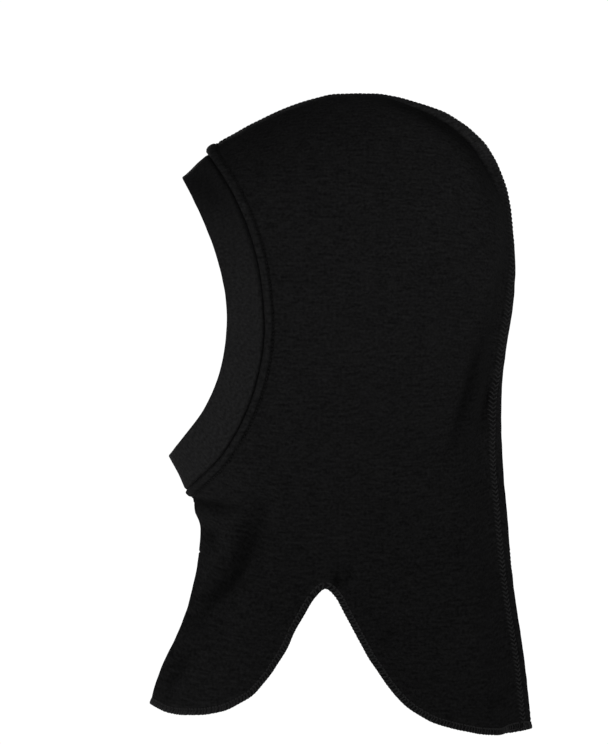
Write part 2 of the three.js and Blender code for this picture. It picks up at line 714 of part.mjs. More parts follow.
export default balaclava;
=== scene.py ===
"""A child's balaclava in fine black knit, as it sits round a head, seen from the wearer's left.

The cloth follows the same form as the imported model: its curves are repeated here, in millimetres.
Everything is worked out in millimetres and turned into metres when a mesh is made.
"""

import math

import bmesh
import bpy
import numpy as np
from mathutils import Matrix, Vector
from mathutils.kdtree import KDTree


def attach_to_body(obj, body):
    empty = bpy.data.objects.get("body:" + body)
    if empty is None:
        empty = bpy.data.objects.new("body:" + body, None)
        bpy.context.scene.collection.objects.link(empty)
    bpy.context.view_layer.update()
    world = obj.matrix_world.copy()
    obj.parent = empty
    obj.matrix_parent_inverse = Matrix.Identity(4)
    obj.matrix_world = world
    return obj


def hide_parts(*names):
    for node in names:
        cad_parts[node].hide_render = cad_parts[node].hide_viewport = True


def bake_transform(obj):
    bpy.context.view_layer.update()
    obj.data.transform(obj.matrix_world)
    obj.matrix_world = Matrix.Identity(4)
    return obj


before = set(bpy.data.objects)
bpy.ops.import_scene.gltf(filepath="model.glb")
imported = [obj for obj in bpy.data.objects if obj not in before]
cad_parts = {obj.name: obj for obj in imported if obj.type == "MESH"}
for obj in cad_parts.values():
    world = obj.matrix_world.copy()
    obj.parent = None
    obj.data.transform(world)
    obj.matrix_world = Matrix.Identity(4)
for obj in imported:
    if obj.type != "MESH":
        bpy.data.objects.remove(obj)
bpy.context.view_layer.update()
MM = 0.001

# ---- The form, in millimetres: X to the back of the head, Y to the wearer's right, Z up
FRONT_LINE = [
    (-120, -246), (-115.4, -226), (-109.6, -208), (-99.4, -186), (-92.2, -164), (-88.3, -142),
    (-87.8, -127), (-93, -114), (-105.2, -90.5), (-113.5, -60), (-117.5, -20), (-115, 16),
    (-108.2, 42), (-97.8, 61.5), (-84, 75.2), (-69, 84.8), (-50, 94.9), (-31, 102.8), (-15, 106.6),
    (0, 107.4),
]
BACK_LINE = [
    (0, 107.4), (15, 106.6), (31, 102.7), (47, 96.4), (60, 87.6), (69, 78.6), (76.5, 65),
    (81.8, 46.5), (84.5, 19), (83.8, -6), (80.6, -30), (78, -58), (77.8, -82), (80, -117),
    (84, -158), (90.6, -208), (94, -239), (94.4, -246),
]
BAND_EDGE = [
    (-97.8, 61.5), (-87.5, 41), (-80, 21.9), (-74.4, 0), (-73.2, -19), (-76.7, -43.8),
    (-85.9, -65.6), (-105.2, -90.5),
]
FACE_SEAM = [
    (-84, 75.2), (-69.5, 52.3), (-57.8, 22.6), (-52.7, -10), (-53.1, -33.6), (-60.2, -62.1),
    (-75.7, -90.5), (-95.1, -109.6),
]
BACK_HEM = [
    (94, -239), (77, -243), (54.7, -240.2), (36, -234), (21.9, -223.7), (5.5, -201.6),
    (-7.1, -179), (-14.2, -166.6), (-19.1, -162.9),
]
FRONT_HEM = [
    (-19.1, -162.9), (-24, -166.6), (-32.7, -180.5), (-44.1, -202.4), (-57, -219), (-73, -228.8),
    (-92, -232), (-106, -230.6), (-115.4, -226),
]
WIDEST_Z, WIDEST_HALF = 22, 71
HALF_WIDTH = [
    (22, 71), (-10, 70), (-45, 66), (-80, 59), (-110, 52), (-140, 50), (-165, 54), (-195, 62),
    (-225, 68), (-246, 71),
]
CROWN_POWER = 2.1
ROUND = 0.5
BACK_CREASE = (0.8, 20, 110)  # power, and the levels below the origin between which it sets in
FRONT_CREASE = (0.72, 95, 150)
TOP = FRONT_LINE[-1][1]
EAR = np.array([0.0, -22.0])
FOLD_RADIUS = 150  # the flaps' cloth starts this far from EAR, in the side view
LEFT, RIGHT = -1, 1
SIDES = ((LEFT, "left"), (RIGHT, "right"))
WELD = 0.002  # points closer than this are one

# ---- Cloth and thread
PLAIN = 0.8  # the stored shade of plain cloth, with no painted shade or painted highlight; the base colour is multiplied by it
PAINTED_HIGHLIGHT = 1.8  # how much lighter the painted highlight can make the cloth
CLOTH = 1.0  # thickness of the panels
PLY = 0.75  # thickness of one ply of the face band
BAND_THICK = 2.1
ROLL_WIDTH = 5.0  # from the face seam to the row of stitches
BROW_WIDTH, BROW_END = 2.4, 34  # how much wider it is at the forehead, and where that has ended
ROLL_HEIGHT, ROLL_POWER = 1.25, 2.6  # and how flat its top is
ROLL_HIGHLIGHT, STITCH_SHADOW = 0.24, 0.42  # how much painted highlight lightens the roll, and how much painted shade darkens its row of stitches
LOWER_PAINTED_SHADE, BROW_PAINTED_SHADE = 0.16, 0.24  # painted shade, as the light falls: on the lower hood, and on the band over the forehead
TOPSTITCH_PITCH = 2.0
COVER_PITCH = 2.4  # of the stitches over the crown and back seam
COVER_HALF = 2.4
OVERLOCK_PITCH = 2.1
OVERLOCK_WIDTH = 3.2
TOP_SIZE = COVER_SIZE = (0.95, 0.4)  # width and thickness of each kind of thread
INNER_SIZE, EDGE_SIZE, OVERLOCK_SIZE = (0.7, 0.45), (0.6, 0.4), (1.0, 0.34)


# ---- Curves
def spline(points, steps=48):
    """A centripetal Catmull-Rom curve through the points, as a fine polyline."""
    p = np.array(points, float)
    p = np.vstack([2 * p[0] - p[1], p, 2 * p[-1] - p[-2]])
    t = np.linspace(0, 1, steps, endpoint=False)[:, None]
    pieces = []
    for a, b, c, d in zip(p, p[1:], p[2:], p[3:]):
        k0, k1, k2 = (np.linalg.norm(q) ** 0.5 for q in (b - a, c - b, d - c))
        m1 = ((b - a) / k0 - (c - a) / (k0 + k1) + (c - b) / k1) * k1
        m2 = ((c - b) / k1 - (d - b) / (k1 + k2) + (d - c) / k2) * k1
        square, cube = 3 * (c - b) - 2 * m1 - m2, 2 * (b - c) + m1 + m2
        pieces.append(b + m1 * t + square * t**2 + cube * t**3)
    return np.vstack([*pieces, p[-2:-1]])


def lengths(points):
    """How far along a polyline each of its points lies."""
    steps = np.linalg.norm(np.diff(points, axis=0), axis=1)
    return np.concatenate([[0], np.cumsum(steps)])


def along(points, distances):
    """The points that lie those distances along a polyline."""
    at = lengths(points)
    return np.stack([np.interp(distances, at, column) for column in points.T], axis=1)


def evenly(points, pitch):
    """A polyline's points again, a pitch apart."""
    total = lengths(points)[-1]
    return along(points, np.linspace(0, total, max(2, round(total / pitch)) + 1))


def eased(points, count):
    """A polyline's points again, closest together at both its ends."""
    share = (1 - np.cos(np.linspace(0, np.pi, count))) / 2
    return along(points, share * lengths(points)[-1])


FRONT, BACK = spline(FRONT_LINE), spline(BACK_LINE)[::-1]
LOWER = spline(HALF_WIDTH)[::-1]


# ---- The form
def half_width(z):
    """Half the hood's width at a level."""
    up = np.clip((z - WIDEST_Z) / (TOP - WIDEST_Z), 0, 1)
    crown = WIDEST_HALF * (1 - up**CROWN_POWER) ** (1 / CROWN_POWER)
    return np.where(z > WIDEST_Z, crown, np.interp(z, LOWER[:, 0], LOWER[:, 1]))


def smooth(x, low, high):
    """0 below low and 1 above high, with an easy slope between."""
    t = np.clip((x - low) / (high - low), 0, 1)
    return t * t * (3 - 2 * t)


def crease(across, z):
    """The oval's power: an ellipse's is 0.5, and 1 is two arcs that meet at an angle."""
    back, front = (
        ROUND + (power - ROUND) * smooth(-z, start, end)
        for power, start, end in (BACK_CREASE, FRONT_CREASE)
    )
    return np.where(across > 0, back, front)


def across_at(x, z):
    """Where x lies between the front, at -1, and the back, at 1."""
    front = np.interp(z, FRONT[:, 1], FRONT[:, 0])
    back = np.interp(z, BACK[:, 1], BACK[:, 0])
    return (2 * x - front - back) / (back - front)


def on_form(x, z):
    """Places of the side view on the form's left half."""
    level = np.minimum(z, TOP - 1e-3)
    across = across_at(x, level)
    wide = half_width(level) * np.maximum(0, 1 - across**2) ** crease(across, level)
    return np.stack([x, LEFT * wide, z], axis=-1)


def oval(p):
    """The form's equation, which is 1 on it, and its gradient, at each point."""
    z = np.minimum(p[:, 2], TOP - 0.02)
    step = np.minimum(0.05, (TOP - z) / 4)

    def value(x, y, level):
        across = across_at(x, level)
        return (np.abs(y) / half_width(level)) ** (1 / crease(across, level)) + across**2

    x, y = p[:, 0], p[:, 1]
    gradient = [
        value(x + step, y, z) - value(x - step, y, z),
        value(x, y + step, z) - value(x, y - step, z),
        value(x, y, z + step) - value(x, y, z - step),
    ]
    return value(x, y, z), np.stack(gradient, axis=1) / (2 * step[:, None])


def unit(v):
    return v / np.maximum(np.linalg.norm(v, axis=-1, keepdims=True), 1e-12)


def normal_at(p):
    """The way out of the form, at points in an array of any shape."""
    return unit(oval(p.reshape(-1, 3))[1]).reshape(p.shape)


def walk(start, heading, reach, step):
    """Points on the form, a step apart, setting out from start along heading."""
    p, h = start.copy(), unit(heading)
    places = [p.copy()]
    for _ in range(round(reach / step)):
        p = p + h * step
        for _ in range(2):
            value, gradient = oval(p)
            p = p + gradient * ((1 - value) / (gradient**2).sum(1))[:, None]
        n = normal_at(p)
        h = unit(h - n * (h * n).sum(1)[:, None])
        places.append(p.copy())
    return np.stack(places, axis=1)


class Strip:
    """The left half's surface beside a line: s is distance along the line, c distance across."""

    STEP = 0.5

    def __init__(self, line, grid, first):
        self.at, self.grid, self.first = lengths(line), grid, first
        self.length = self.at[-1]
        self.last = first + (grid.shape[1] - 1) * self.STEP
        self.tree = KDTree(grid.shape[0] * grid.shape[1])
        for i, node in enumerate(grid.reshape(-1, 3)):
            self.tree.insert(node, i)
        self.tree.balance()

    @classmethod
    def beside(cls, line, inwards, before, after):
        """From a line on the form, walking both ways square to it."""
        plus = walk(line, inwards, after, cls.STEP)
        minus = walk(line, -inwards, before, cls.STEP)[:, :0:-1]
        return cls(line, np.concatenate([minus, plus], axis=1), -before)

    @classmethod
    def from_centre(cls, line, reach):
        """From a centre line, along the sections square to it."""
        flat = line[:, [0, 2]]
        inwards = unit(np.gradient(flat, axis=0))[:, ::-1] * [1, -1]
        inwards[((EAR - flat) * inwards).sum(1) < 0] *= -1
        depth = np.concatenate([[0], np.geomspace(1e-4, reach, 500)])
        section = on_form(*(flat.T[:, :, None] + inwards.T[:, :, None] * depth))
        section[:, 0] = line
        steps = np.arange(0, reach + cls.STEP, cls.STEP)
        return cls(line, np.stack([along(row, steps) for row in section]), 0)

    def point(self, s, c):
        s, c = np.broadcast_arrays(np.asarray(s, float), np.asarray(c, float))
        rows, columns = self.grid.shape[:2]
        i = np.clip(np.interp(s, self.at, np.arange(rows)), 0, rows - 1.001)
        j = np.clip((c - self.first) / self.STEP, 0, columns - 1.001)
        i0, j0 = i.astype(int), j.astype(int)
        u, v = (i - i0)[..., None], (j - j0)[..., None]
        g = self.grid
        near, far = (g[i0, j] * (1 - u) + g[i0 + 1, j] * u for j in (j0, j0 + 1))
        return near * (1 - v) + far * v

    def find(self, p):
        """s and c of each point, on either half. c is infinite where the strip doesn't reach."""
        q = p * [1, 0, 1] + np.abs(p) * [0, -1, 0]
        rows, columns = self.grid.shape[:2]
        found = np.array([self.tree.find(v)[1] for v in q])
        i, j = np.divmod(found, columns)
        i0, i1 = np.maximum(i - 1, 0), np.minimum(i + 1, rows - 1)
        j0, j1 = np.maximum(j - 1, 0), np.minimum(j + 1, columns - 1)
        g = self.grid
        es = (g[i1, j] - g[i0, j]) / (self.at[i1] - self.at[i0])[:, None]
        ec = (g[i, j1] - g[i, j0]) / ((j1 - j0) * self.STEP)[:, None]
        gap = q - g[i, j]
        ss, cc, sc = (es**2).sum(1), (ec**2).sum(1), (es * ec).sum(1)
        gs, gc = (gap * es).sum(1), (gap * ec).sum(1)
        det = np.maximum(ss * cc - sc**2, 1e-9)
        s = self.at[i] + (gs * cc - gc * sc) / det
        c = self.first + j * self.STEP + (gc * ss - gs * sc) / det
        inside = (c <= self.last) & (c >= self.first - self.STEP)
        inside &= (s > -1.5) & (s < self.length + 1.5)
        return np.clip(s, 0, self.length), np.where(inside, c, np.inf)


# ---- The lines of the garment, on the left half
def lifted(line):
    """A line of the side view, raised onto the left half."""
    return on_form(*eased(line, 1500).T)


def on_centre(line):
    return np.insert(line, 1, 0.0, axis=1)


def between(line, start, end):
    """The part of a polyline between its points nearest to start and to end."""
    i, j = (int(np.argmin(np.linalg.norm(line - np.array(p), axis=1))) for p in (start, end))
    return line[i : j + 1] if i < j else line[j : i + 1][::-1]


def inwards_of(line):
    """The way over the form, square to an edge of the panel, into the panel."""
    square = unit(np.cross(np.gradient(line, axis=0), normal_at(line)))
    halfway = len(line) // 2
    towards = np.array([EAR[0], 0, EAR[1]]) - line[halfway]
    return square if square[halfway] @ towards > 0 else -square


crown_flat = np.vstack([between(FRONT, FACE_SEAM[0], FRONT_LINE[-1]), spline(BACK_LINE)[1:]])
crown_whole = between(crown_flat, FACE_SEAM[0], BACK_LINE[-1])
crown_flat = between(crown_flat, FACE_SEAM[0], BACK_HEM[0])
chin_whole = between(FRONT, FACE_SEAM[-1], FRONT_LINE[0])
chin_flat = between(FRONT, FACE_SEAM[-1], FRONT_HEM[-1])
CROWN_LENGTH, CHIN_LENGTH = lengths(crown_flat)[-1], lengths(chin_flat)[-1]
hem_flat = spline(BACK_HEM + FRONT_HEM[1:])
seam_flat = spline(FACE_SEAM)
edge_flat = spline(BAND_EDGE)

CENTRE_PITCH, EDGE_PITCH = 1.5, 1.0
CROWN_REACH = 46
FAR = 60  # stands for any distance that is past a strip's reach
crown_line = on_centre(evenly(crown_whole, CENTRE_PITCH))
chin_line = on_centre(evenly(chin_whole, CENTRE_PITCH))
hem_line = evenly(lifted(hem_flat), EDGE_PITCH)
seam_line = evenly(lifted(seam_flat), EDGE_PITCH)

CROWN = Strip.from_centre(crown_line, CROWN_REACH)
CHIN = Strip.from_centre(chin_line, 8)
HEM = Strip.beside(hem_line, inwards_of(hem_line), 1.5, 8)
FACE = Strip.beside(seam_line, inwards_of(seam_line), 3, 12)

# ---- The cloth's relief
# Along the crown and back seam from the forehead: how far it lies to the left of the centre line.
SEAM_DRIFT = [
    (0, 0), (30, -3), (105, -3), (150, -1), (165, 1), (175, 3), (190, 5), (230, 9.5), (253, 14.5),
    (277, 16.5), (305, 15.5), (357, 11.6), (450, 10.4), (490, 10.6),
]
DRIFT_FADE = (6, 36)  # how far from the seam the cloth starts and stops sliding with it
# Along the same line, where the cloth drops away beside a ridge: how far it drops, how far from the
# centre line the slope's middle is, half its width, where the cloth has come up again, how much
# painted shade darkens the hollow, and how much painted highlight lightens the ridge.
RIDGE = [
    (0, 0, 4, 3, 24, 0, 0), (95, 0, 4, 3, 26, 0, 0), (108, 1.6, 4, 3, 28, 0.45, 0.6),
    (122, 3.2, 4.5, 3, 32, 0.58, 1), (140, 4.8, 5, 3, 34, 0.62, 1), (160, 6, 6, 3.4, 35, 0.6, 0.9),
    (175, 6, 7, 4, 36, 0.5, 0.6), (190, 4.8, 8, 4, 38, 0.28, 0.2), (205, 2.4, 9, 4.5, 38, 0.08, 0),
    (230, 2, 11.5, 4.5, 40, 0, 0), (253, 4, 17, 4.5, 42, 0.06, 0), (277, 4.6, 19, 4.5, 42, 0.1, 0),
    (305, 3, 18, 4.5, 42, 0.12, 0), (357, 1.2, 14, 4.5, 40, 0.06, 0),
    (490, 1.2, 13, 4.5, 40, 0.06, 0),
]
# Soft folds: a line of the side view, then the fold's half width, its depth and how much painted
# shade darkens it.
CHIN_FOLDS = [([(-97, -112), (-88, -116.5), (-76, -119), (-66, -119)], 3.2, 4.2, 0.5)]
LEFT_FOLDS = [
    ([(69, -22), (64, -40), (57, -66), (50, -88)], 4.4, 4.6, 0.4),
    ([(73, -50), (71.5, -62), (69, -76)], 2.6, 2.6, 0.34),
    ([(-56, -118), (-61, -135), (-69, -153), (-83, -168), (-89, -178)], 6.4, 7, 0.52),
    ([(-94, -194), (-97, -203), (-104, -216)], 4, 2.6, 0.3),
    ([(-84, -131), (-79, -138)], 3.6, 3, 0.32),
    ([(-12.5, -152), (-13, -162)], 2.6, 3, 0.4),
    ([(-4, -149), (-8, -160)], 2.4, 2, 0.3),
    ([(19, -180), (13, -196)], 5, 2.6, 0.14),
    ([(81, -220), (69, -229)], 4, 2.2, 0.2),
]
RIGHT_FOLDS = [
    ([(64, -20), (59, -44), (56, -68)], 4.6, 3.6, 0.35),
    ([(-62, -118), (-74, -144), (-90, -168)], 6, 6, 0.5),
    ([(-20, -149), (-24, -160)], 3, 2.4, 0.3),
    ([(30, -188), (42, -210)], 6, 2.6, 0.2),
    ([(-38, -176), (-52, -194)], 5, 2.4, 0.2),
]
BAND_FOLDS = [([(-96, 66), (-84, 56), (-74, 42)], 8, 1.6, 0.32)]


def ripples(p, count, shortest, longest, seed):
    """A gentle unevenness from -1 to 1: waves of several lengths, running several ways."""
    random = np.random.default_rng(seed)
    total = np.zeros(len(p))
    for _ in range(count):
        way = unit(random.normal(size=3))
        length = random.uniform(shortest, longest)
        total += np.sin(2 * np.pi * (p @ way) / length + random.uniform(0, 2 * np.pi))
    return total / count**0.5 / 1.5


def unevenness(p):
    return 0.55 * ripples(p, 9, 34, 80, 3) + 0.16 * ripples(p, 12, 9, 20, 5)


def fold(p, line, half, depth, dark):
    """A valley along a line of the side view, with low shoulders, fading out at both ends.

    Gives how far the cloth is moved, and how much painted shade darkens the hollow.
    """
    line = evenly(spline(line, 12), 1.5)
    x, z = p[:, 0], p[:, 2]
    gap = np.hypot(x[:, None] - line[:, 0], z[:, None] - line[:, 1])
    share = gap.argmin(1) / (len(line) - 1)
    across = gap.min(1) / half
    ends = 0.35 + 0.65 * smooth(share, -0.02, 0.35) * (1 - smooth(share, 0.65, 1.02))
    valley = np.exp(-(across**2))
    shoulders = 0.4 * np.exp(-((across / 2) ** 2))
    return np.stack([-depth * ends * (valley - shoulders), dark * ends * valley])


def folded(p, folds):
    return sum(fold(p, *each) for each in folds)


def groove(c, half):
    return np.exp(-((c / half) ** 2))


def roll_width(s):
    """From the face seam to the row of stitches: wider over the forehead, where nothing pulls."""
    return ROLL_WIDTH + BROW_WIDTH * (1 - smooth(s, 0, BROW_END))


def tightness(s):
    """How far the row of stitches draws the cloth in: least over the forehead."""
    return 0.35 + 0.65 * smooth(s, 30, 110)


def roll(s, c):
    """Round the face, the cloth rolls over the turned edges and down to the row of stitches."""
    chin = smooth(s, FACE.length - 24, FACE.length - 4)
    brow = 1 - smooth(s, 3, 14)
    height = ROLL_HEIGHT * (1 - 0.4 * chin + 0.3 * brow)
    wide = roll_width(s)
    over = height * (1 - np.abs(2 * np.clip(c / wide, 0, 1) - 1) ** ROLL_POWER)
    dip = (1.05 - 0.35 * chin - 0.85 * brow) * (1 - smooth(c, 0, 1))
    drawn = 0.6 * tightness(s) * groove(c - wide, 0.8)
    return np.where(np.isinf(c), 0, np.where(c < wide, over, 0) - dip - drawn)


def seams(p, crown_c, face_s, face_c):
    """How the seams move the cloth."""
    # The crown seam lies flat in its stitches, between two shallow grooves.
    flat = 1 - smooth(crown_c, COVER_HALF - 0.4, COVER_HALF + 0.4)
    total = 0.35 * flat - 0.4 * groove(crown_c - COVER_HALF - 0.8, 0.7) + roll(face_s, face_c)
    # Below the chin the two halves meet in a plain seam, pulled in a little.
    _, c = CHIN.find(p)
    total += 0.35 * groove(c - 3, 1.6) - 1.0 * groove(c, 1.1)
    # The overlock draws the hem in, and leaves it slightly wavy.
    s, c = HEM.find(p)
    wave = np.sin(2 * np.pi * s / 17) + np.sin(2 * np.pi * s / 29 + 1)
    hem = 0.28 * wave * (1 - smooth(c, 0, 8)) - 0.35 * groove(c - 3.4, 0.9)
    return total + np.where(np.isinf(c), 0, hem)


def beside_crown(s, c):
    """Points of the form beside the crown and back seam. c is signed, and plus is the left."""
    p = CROWN.point(s, np.abs(c))
    p[..., 1] *= np.where(c >= 0, 1, -1)
    return p


def ridge(s, c):
    """The drop beside the ridge, the painted shade in its hollow, and the painted highlight on its
    ridge.
    """
    at, *columns = zip(*RIDGE)
    drop, middle, half, end, dark, light = (np.interp(s, at, column) for column in columns)
    slope = smooth(c, middle - half, middle + half)
    risen = smooth(c, middle + half + 0.5, end)
    foot = smooth(c, middle + 0.1 * half, middle + 0.9 * half)
    hollow = dark * foot * (1 - smooth(c, end - 8, end + 9))
    return -drop * slope * (1 - risen), hollow, light * (1 - foot) * (1 - smooth(-c, 3, 9))


def soft_relief(p):
    """The cloth's unevenness and folds, and the painted shade in the folds."""
    left, right, both = (folded(p, folds) for folds in (LEFT_FOLDS, RIGHT_FOLDS, CHIN_FOLDS))
    sides = np.where(p[:, 1] > 0, right, left) * smooth(np.abs(p[:, 1]), 0, 5)
    sunk, dark = sides + both
    return unevenness(p) + sunk, np.clip(dark, 0, 0.75)


class Cloth:
    """Where the cloth lies over points of the form, and its painted shade and highlight there."""

    def __init__(self, p):
        s, c = CROWN.find(p)
        c = np.where(np.isinf(c), FAR, c)
        signed = np.where(p[:, 1] > 0, -c, c)
        near = c < CROWN_REACH - 2
        drifted = signed + np.interp(s, *zip(*SEAM_DRIFT)) * (1 - smooth(c, *DRIFT_FADE))
        shift = beside_crown(s, drifted) - beside_crown(s, signed)
        self.base = p.copy()
        self.base[near] += shift[near]
        self.normal = normal_at(self.base)
        drop, hollow, highlight = ridge(s, drifted)
        sunk, dark = soft_relief(self.base)
        face_s, face_c = FACE.find(p)
        self.relief = sunk + drop + seams(p, c, face_s, face_c)
        # Painted highlight on the roll, and painted shade in the row of stitches.
        wide = roll_width(face_s)
        on_roll = smooth(face_c, 0.4, 1.2) * (1 - smooth(face_c, wide - 1.4, wide - 0.6))
        highlight = np.maximum(highlight, ROLL_HIGHLIGHT * on_roll)
        stitched = STITCH_SHADOW * tightness(face_s) * groove(face_c - wide, 0.7)
        # Painted shade: the lower front of the hood is darker, as the light falls.
        lower = LOWER_PAINTED_SHADE * smooth(-p[:, 2], 20, 150) * smooth(p[:, 0], -80, -40)
        dimmed = (1 - lower) * (1 - dark) * (1 - hollow) * (1 - stitched)
        self.shade = PLAIN * dimmed * (1 + (PAINTED_HIGHLIGHT - 1) * highlight)

    def at(self, height):
        """Points that height out from the cloth's outer face."""
        return self.base + self.normal * (self.relief + height)[:, None]


def laid(p, height, side=LEFT):
    """Left-half points, in an array of any shape, put on one side's cloth at a height."""
    cloth = Cloth(p.reshape(-1, 3) * [1, -side, 1])
    heights = np.broadcast_to(height, p.shape[:-1]).reshape(-1)
    return cloth.at(heights).reshape(p.shape), cloth.normal.reshape(p.shape)


# ---- Meshes
def grid_faces(rows, columns, loop=False, rings=False):
    """Quads of a numbered grid: loop joins the last row to the first, rings closes each row."""
    i = np.arange(rows if loop else rows - 1)[:, None]
    j = np.arange(columns if rings else columns - 1)
    near, far, k = i * columns, (i + 1) % rows * columns, (j + 1) % columns
    return np.stack([near + j, near + k, far + k, far + j], axis=-1).reshape(-1, 4)


def both_halves(left, right=None):
    """The rows of a closed loop: down the left half, and back up the right one."""
    return np.concatenate([left, (left if right is None else right)[-2:0:-1]])


FLAT, SHADE = "knit", "shade"  # names of a mesh's flat map and its stored painted shade and highlight
THREAD_SIDES, THREAD_END = 6, 0.6  # a thread's section, and how much smaller its ends are


def make(name, points, faces, material, uv=None, sharp=60, shade=PLAIN):
    """A mesh object from points in millimetres and arrays of faces, all turned outwards."""
    mesh = bpy.data.meshes.new(name)
    points = points.reshape(-1, 3)
    mesh.from_pydata((points * MM).tolist(), [], [f for part in faces for f in part.tolist()])
    if uv is not None:
        layer = mesh.uv_layers.new(name=FLAT)
        corner = np.zeros(len(mesh.loops), int)
        mesh.loops.foreach_get("vertex_index", corner)
        layer.data.foreach_set("uv", uv[corner].ravel())
        colour = np.repeat(np.broadcast_to(shade, len(points)), 4)
        layer = mesh.color_attributes.new(SHADE, "FLOAT_COLOR", "POINT")
        layer.data.foreach_set("color", colour)
    work = bmesh.new()
    work.from_mesh(mesh)
    bmesh.ops.remove_doubles(work, verts=work.verts, dist=WELD * MM)
    bmesh.ops.dissolve_degenerate(work, edges=work.edges, dist=WELD * MM)
    bmesh.ops.recalc_face_normals(work, faces=work.faces)
    work.to_mesh(mesh)
    work.free()
    mesh.polygons.foreach_set("use_smooth", [True] * len(mesh.polygons))
    mesh.set_sharp_from_angle(angle=math.radians(sharp))
    mesh.materials.append(material)
    piece = bpy.data.objects.new(name, mesh)
    bpy.context.collection.objects.link(piece)
    return piece


def tubes(paths, refs, wide, thick):
    """Closed threads along paths of equal counts: wide across refs, and thick along them."""
    count, steps = paths.shape[:2]
    tangent = unit(np.gradient(paths, axis=1))
    side = unit(np.cross(tangent, refs))
    up = np.cross(side, tangent)
    taper = np.ones(steps)
    taper[[0, -1]] = THREAD_END
    turn = np.arange(THREAD_SIDES) / THREAD_SIDES * 2 * np.pi
    ring = side[:, :, None] * np.cos(turn)[:, None] * wide / 2
    ring = ring + up[:, :, None] * np.sin(turn)[:, None] * thick / 2
    points = paths[:, :, None] + ring * taper[:, None, None]
    cap = np.array([(0, 1, 2, 3), (0, 3, 4, 5)])
    end = cap + (steps - 1) * THREAD_SIDES
    one = np.vstack([grid_faces(steps, THREAD_SIDES, rings=True), cap[:, [0, 3, 2, 1]], end])
    start = np.arange(count) * steps * THREAD_SIDES
    return points.reshape(-1, 3), (one + start[:, None, None]).reshape(-1, 4)


def joined(parts):
    """One list of points and quads from several."""
    points, faces = zip(*parts)
    starts = np.cumsum([0] + [len(p) for p in points])
    return np.vstack(points), np.vstack([f + start for f, start in zip(faces, starts)])


# ---- Materials
class Nodes:
    """Short ways to build the nodes of a material or the world."""

    def __init__(self, owner, shader="Principled BSDF"):
        owner.use_nodes = True
        self.owner, self.tree = owner, owner.node_tree
        self.shader = self.tree.nodes[shader]

    def link(self, value, socket):
        if hasattr(value, "node"):
            self.tree.links.new(value, socket)
        else:
            socket.default_value = value

    def add(self, kind, inputs=(), **settings):
        """A node with its settings and its inputs' values or links, by name or number."""
        node = self.tree.nodes.new("ShaderNode" + kind)
        for key, value in settings.items():
            setattr(node, key, value)
        for key, value in dict(inputs).items():
            self.link(value, node.inputs[key])
        return node

    def math(self, operation, *values):
        return self.add("Math", enumerate(values), operation=operation).outputs[0]

    def product(self, vector, other):
        return self.add("VectorMath", {0: vector, 1: other}, operation="MULTIPLY").outputs[0]

    def noise(self, vector, detail=3.0, roughness=0.6):
        inputs = {"Vector": vector, "Scale": 1, "Detail": detail, "Roughness": roughness}
        return self.add("TexNoise", inputs).outputs["Fac"]

    def ramp(self, value, low, high, start=0.3, end=0.7):
        node = self.add("ValToRGB", {0: value})
        for stop, place, colour in zip(node.color_ramp.elements, (start, end), (low, high)):
            stop.position = place
            stop.color = (*colour, 1)
        return node.outputs[0]

    def flat_place(self):
        """The place on the flat cloth, in millimetres, and its two parts."""
        place = self.add("UVMap", uv_map=FLAT).outputs[0]
        u, v, _ = self.add("SeparateXYZ", {0: place}).outputs
        return place, u, v

    def bump(self, height, distance, strength):
        inputs = {"Strength": strength, "Distance": distance * MM, "Height": height}
        self.link(self.add("Bump", inputs).outputs[0], self.shader.inputs["Normal"])

    def surface(self, colour, roughness, specular, sheen):
        values = {
            "Base Color": colour, "Roughness": roughness, "Specular IOR Level": specular,
            "Sheen Weight": sheen, "Sheen Roughness": 0.5, "Sheen Tint": (0.9, 0.93, 1, 1),
        }
        for key, value in values.items():
            self.link(value, self.shader.inputs[key])


def material(name):
    return Nodes(bpy.data.materials.new(name))


def knit(name, dark, light, streak, wale, course, relief, sheen):
    """Fine jersey: columns of stitches, uneven courses that show as streaks, and a little fuzz."""
    n = material(name)
    place, u, v = n.flat_place()
    column, row = n.math("DIVIDE", u, wale), n.math("DIVIDE", v, course)
    lean = n.math("PINGPONG", column, 0.5)
    stitch = n.math("SINE", n.math("MULTIPLY", n.math("ADD", row, lean), 2 * math.pi))
    rib = n.math("ABSOLUTE", n.math("SINE", n.math("MULTIPLY", column, math.pi)))
    loops = n.math("MULTIPLY", n.math("MULTIPLY_ADD", stitch, 0.5, 0.5), rib)
    streaks = n.noise(n.product(place, (1 / streak, 0.62, 1)), 2, 0.55)
    fuzz = n.noise(n.product(place, (0.6, 0.64, 1)), 2, 0.6)
    cloud = n.noise(n.product(place, (0.03, 0.05, 1)), 2)
    mixed = n.math("MULTIPLY_ADD", fuzz, 0.6, n.math("MULTIPLY", streaks, 0.4))
    tone = n.math("MULTIPLY_ADD", loops, 0.04, n.math("MULTIPLY_ADD", cloud, 0.1, mixed))
    n.bump(n.math("MULTIPLY_ADD", loops, 0.3, n.math("MULTIPLY", mixed, 2.2)), relief, 0.8)
    # The stored shade is painted shade and painted highlight, multiplied into the base colour.
    shade = n.add("VertexColor", layer_name=SHADE).outputs["Color"]
    n.surface(n.product(n.ramp(tone, dark, light, 0.42, 0.72), shade), 0.95, 0.015, sheen)
    return n.owner


def spun(name, dark, light, sheen):
    """Fuzzy spun thread, with a faint twist."""
    n = material(name)
    place = n.add("TexCoord").outputs["Object"]
    twist = n.noise(n.product(place, (2200, 2200, 2200)), 3, 0.6)
    uneven = n.noise(n.product(place, (300, 300, 300)), 2)
    tone = n.math("MULTIPLY_ADD", twist, 0.6, n.math("MULTIPLY", uneven, 0.4))
    n.bump(twist, 0.15, 0.6)
    n.surface(n.ramp(tone, dark, light), 0.85, 0.15, sheen)
    return n.owner


